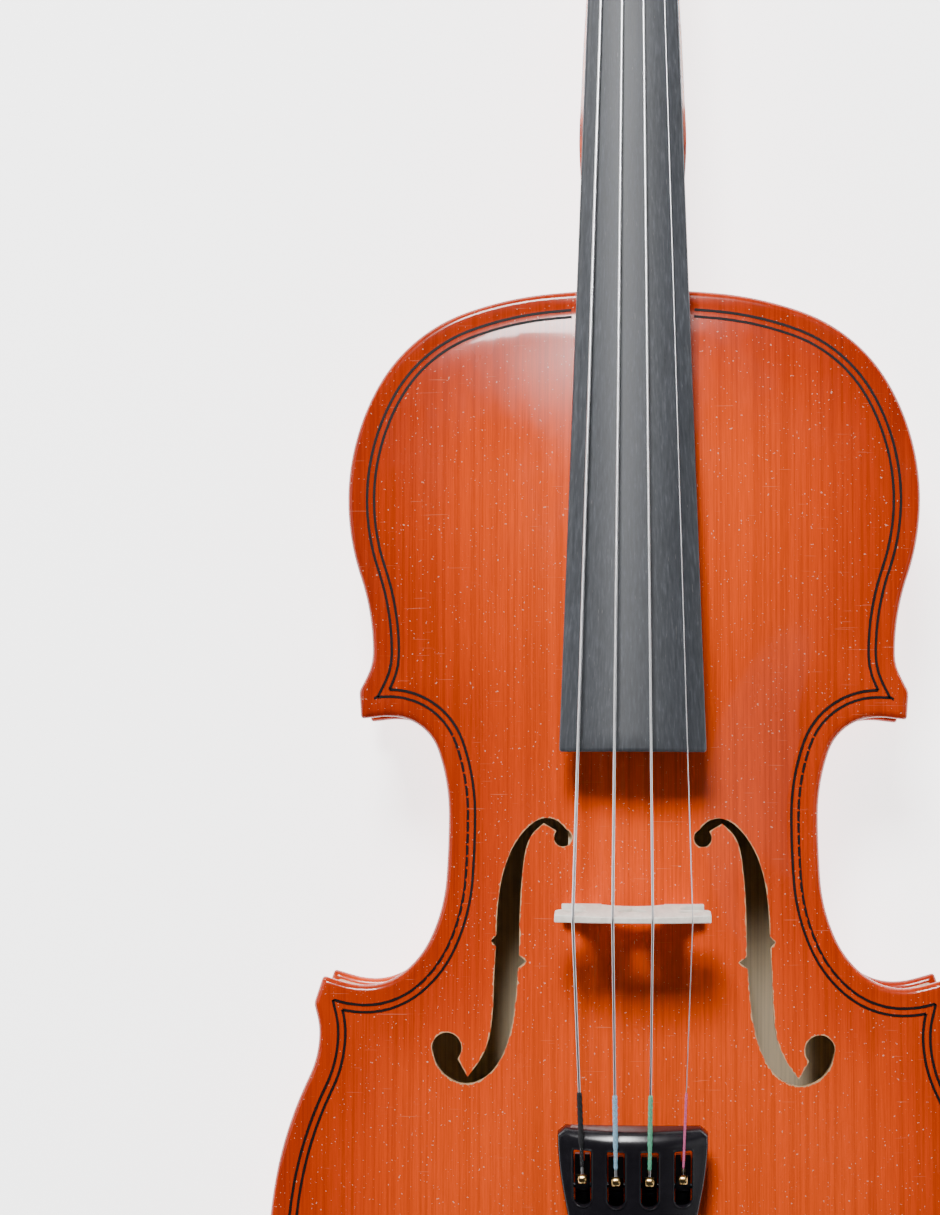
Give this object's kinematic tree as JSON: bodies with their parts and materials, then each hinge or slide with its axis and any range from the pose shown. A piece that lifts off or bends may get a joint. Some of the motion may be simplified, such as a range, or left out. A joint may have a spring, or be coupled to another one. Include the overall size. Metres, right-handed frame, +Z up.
{
  "type": "violin",
  "caption": "Four-string violin lying on its back: arched plates with sound holes, ribs, scrolled neck, pegs, bridge and tailpiece with fine tuners.",
  "frame": {"origin": "middle of the whole length and width, at the level of the lowest points of the back arch and scroll, on which the violin lies on its back", "axes": "+X towards the treble (E string) side, +Y along the neck towards the scroll, +Z up out of the top plate"},
  "size_m": [0.2136, 0.601, 0.0944],
  "materials": {
    "varnished_spruce": "glossy orange-red varnish over straight-grained spruce",
    "varnished_maple": "glossy red-brown varnish over flamed maple",
    "raw_spruce": "bare, planed",
    "blackened_board": "matt charcoal, fine lengthwise grain",
    "bare_maple": "bare, fine grain",
    "black_hardwood": "satin black, polished by hand",
    "black_plastic": "moulded, satin",
    "nickel": "bright nickel plate",
    "ball_brass": "plain turned brass",
    "string_metal": "fine flat winding",
    "black_nylon": "smooth drawn cord"
  },
  "bodies": {
    "root": {"top_plate": "varnished_spruce", "back_plate": "varnished_maple", "neck_and_scroll": "varnished_maple", "top_linings": "raw_spruce", "back_linings": "raw_spruce", "upper_block": "raw_spruce", "end_block": "raw_spruce", "corner_blocks": "raw_spruce", "bass_bar": "raw_spruce", "sound_post": "raw_spruce", "saddle": "black_hardwood", "end_button": "black_hardwood", "fingerboard": "blackened_board", "nut": "black_hardwood", "bridge": "bare_maple", "tailpiece": "black_plastic", "tail_gut": "black_nylon", "tail_gut_nuts": "ball_brass", "tuner_axle": "nickel", "rib_upper_left": "varnished_maple", "rib_upper_right": "varnished_maple", "rib_middle_left": "varnished_maple", "rib_middle_right": "varnished_maple", "rib_lower_left": "varnished_maple", "rib_lower_right": "varnished_maple", "string_g": "string_metal", "string_d": "string_metal", "string_a": "string_metal", "string_e": "string_metal"},
    "peg_g": {"peg_g": "black_hardwood", "winding_g": "string_metal"},
    "tuner_screw_g": {"tuner_screw_g": "nickel"},
    "tuner_lever_g": {"tuner_lever_g": "black_plastic", "ball_end_g": "ball_brass"},
    "peg_d": {"peg_d": "black_hardwood", "winding_d": "string_metal"},
    "tuner_screw_d": {"tuner_screw_d": "nickel"},
    "tuner_lever_d": {"tuner_lever_d": "black_plastic", "ball_end_d": "ball_brass"},
    "peg_a": {"peg_a": "black_hardwood", "winding_a": "string_metal"},
    "tuner_screw_a": {"tuner_screw_a": "nickel"},
    "tuner_lever_a": {"tuner_lever_a": "black_plastic", "ball_end_a": "ball_brass"},
    "peg_e": {"peg_e": "black_hardwood", "winding_e": "string_metal"},
    "tuner_screw_e": {"tuner_screw_e": "nickel"},
    "tuner_lever_e": {"tuner_lever_e": "black_plastic", "ball_end_e": "ball_brass"}
  },
  "joints": [
    {"name": "peg_g_turn", "type": "hinge", "parent": "root", "child": "peg_g", "pos_m": [0, 0.2125, 0.02979], "axis": [-1, 0, 0], "continuous": true},
    {"name": "tuner_screw_g_travel", "type": "slide", "parent": "root", "child": "tuner_screw_g", "axis": [0, 0.1847, -0.9828], "range_m": [0, 0.0025]},
    {"name": "tuner_lever_g_swing", "type": "hinge", "parent": "root", "child": "tuner_lever_g", "pos_m": [0, -0.19744, 0.06823], "axis": [1, 0, 0], "range_deg": [0, 13.1]},
    {"name": "peg_d_turn", "type": "hinge", "parent": "root", "child": "peg_d", "pos_m": [0, 0.2435, 0.02297], "axis": [-1, 0, 0], "continuous": true},
    {"name": "tuner_screw_d_travel", "type": "slide", "parent": "root", "child": "tuner_screw_d", "axis": [0, 0.1847, -0.9828], "range_m": [0, 0.0025]},
    {"name": "tuner_lever_d_swing", "type": "hinge", "parent": "root", "child": "tuner_lever_d", "pos_m": [0, -0.19744, 0.06823], "axis": [1, 0, 0], "range_deg": [0, 13.1]},
    {"name": "peg_a_turn", "type": "hinge", "parent": "root", "child": "peg_a", "pos_m": [0, 0.2575, 0.01989], "axis": [1, 0, 0], "continuous": true},
    {"name": "tuner_screw_a_travel", "type": "slide", "parent": "root", "child": "tuner_screw_a", "axis": [0, 0.1847, -0.9828], "range_m": [0, 0.0025]},
    {"name": "tuner_lever_a_swing", "type": "hinge", "parent": "root", "child": "tuner_lever_a", "pos_m": [0, -0.19744, 0.06823], "axis": [1, 0, 0], "range_deg": [0, 13.1]},
    {"name": "peg_e_turn", "type": "hinge", "parent": "root", "child": "peg_e", "pos_m": [0, 0.2265, 0.02671], "axis": [1, 0, 0], "continuous": true},
    {"name": "tuner_screw_e_travel", "type": "slide", "parent": "root", "child": "tuner_screw_e", "axis": [0, 0.1847, -0.9828], "range_m": [0, 0.0025]},
    {"name": "tuner_lever_e_swing", "type": "hinge", "parent": "root", "child": "tuner_lever_e", "pos_m": [0, -0.19744, 0.06823], "axis": [1, 0, 0], "range_deg": [0, 13.1]}
  ],
  "couplings": [
    {"joint": "tuner_lever_g_swing", "follows": "tuner_screw_g_travel", "rad_per_m": 90.909},
    {"joint": "tuner_lever_d_swing", "follows": "tuner_screw_d_travel", "rad_per_m": 90.909},
    {"joint": "tuner_lever_a_swing", "follows": "tuner_screw_a_travel", "rad_per_m": 90.909},
    {"joint": "tuner_lever_e_swing", "follows": "tuner_screw_e_travel", "rad_per_m": 90.909}
  ]
}
